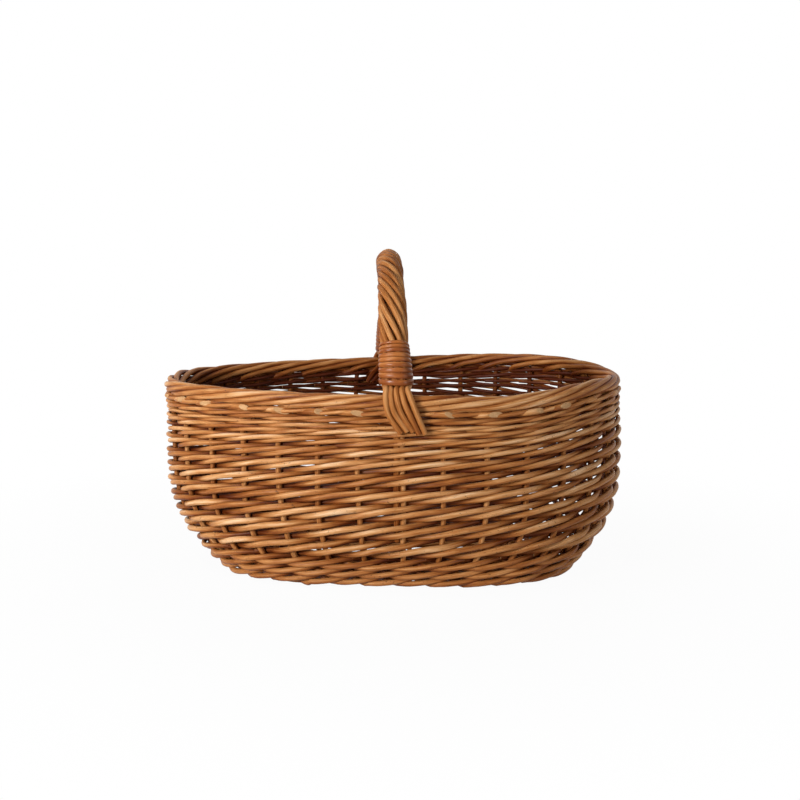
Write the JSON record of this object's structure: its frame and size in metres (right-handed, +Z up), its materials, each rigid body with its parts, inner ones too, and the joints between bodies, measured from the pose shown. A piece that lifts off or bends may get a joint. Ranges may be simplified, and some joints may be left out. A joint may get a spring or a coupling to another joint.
{
  "type": "wicker firewood basket",
  "caption": "Oval wicker basket for firewood: willow rods woven round upright stakes, with a rolled border and one roped handle across the middle.",
  "frame": {"origin": "centre of the bounding box in plan, on the surface the basket stands on", "axes": "+X along the long side of the oval, towards its fuller end; +Y across, away from the pictured side; +Z up towards the handle"},
  "size_m": [0.4632, 0.3304, 0.316],
  "materials": {
    "stake_willow": "satin",
    "weaver_willow": "satin",
    "band_willow": "satin",
    "handle_willow": "satin",
    "binding_willow": "satin"
  },
  "bodies": {
    "root": {"cross_stake_rod_01": "stake_willow", "cross_stake_rod_02": "stake_willow", "cross_stake_rod_03": "stake_willow", "cross_stake_rod_04": "stake_willow", "cross_stake_rod_05": "stake_willow", "cross_stake_rod_06": "stake_willow", "cross_stake_rod_07": "stake_willow", "cross_stake_rod_08": "stake_willow", "cross_stake_rod_09": "stake_willow", "cross_stake_rod_10": "stake_willow", "cross_stake_rod_11": "stake_willow", "length_stake_rod_01": "stake_willow", "length_stake_rod_02": "stake_willow", "length_stake_rod_03": "stake_willow", "length_stake_rod_04": "stake_willow", "side_weaver_01": "weaver_willow", "side_weaver_02": "weaver_willow", "side_weaver_03": "weaver_willow", "side_weaver_04": "weaver_willow", "side_weaver_05": "weaver_willow", "side_weaver_06": "weaver_willow", "side_weaver_07": "weaver_willow", "side_weaver_08": "weaver_willow", "side_weaver_09": "weaver_willow", "side_weaver_10": "weaver_willow", "side_weaver_11": "weaver_willow", "side_weaver_12": "weaver_willow", "side_weaver_13": "weaver_willow", "side_weaver_14": "weaver_willow", "side_weaver_15": "weaver_willow", "side_weaver_16": "weaver_willow", "side_weaver_17": "weaver_willow", "side_weaver_18": "weaver_willow", "side_weaver_19": "weaver_willow", "side_weaver_20": "weaver_willow", "side_weaver_21": "weaver_willow", "side_weaver_22": "weaver_willow", "side_weaver_23": "weaver_willow", "side_weaver_24": "weaver_willow", "side_weaver_25": "weaver_willow", "side_weaver_26": "weaver_willow", "side_weaver_27": "weaver_willow", "side_weaver_28": "weaver_willow", "side_weaver_29": "weaver_willow", "side_weaver_30": "weaver_willow", "base_strand_1": "band_willow", "base_strand_2": "band_willow", "base_strand_3": "band_willow", "upset_strand_1": "band_willow", "upset_strand_2": "band_willow", "upset_strand_3": "band_willow", "top_band_strand_1": "band_willow", "top_band_strand_2": "band_willow", "top_band_strand_3": "band_willow", "handle_bow": "handle_willow", "roping_bundle_1": "handle_willow", "roping_bundle_2": "handle_willow", "foot_binding_1": "binding_willow", "foot_binding_2": "binding_willow"}
  },
  "joints": []
}
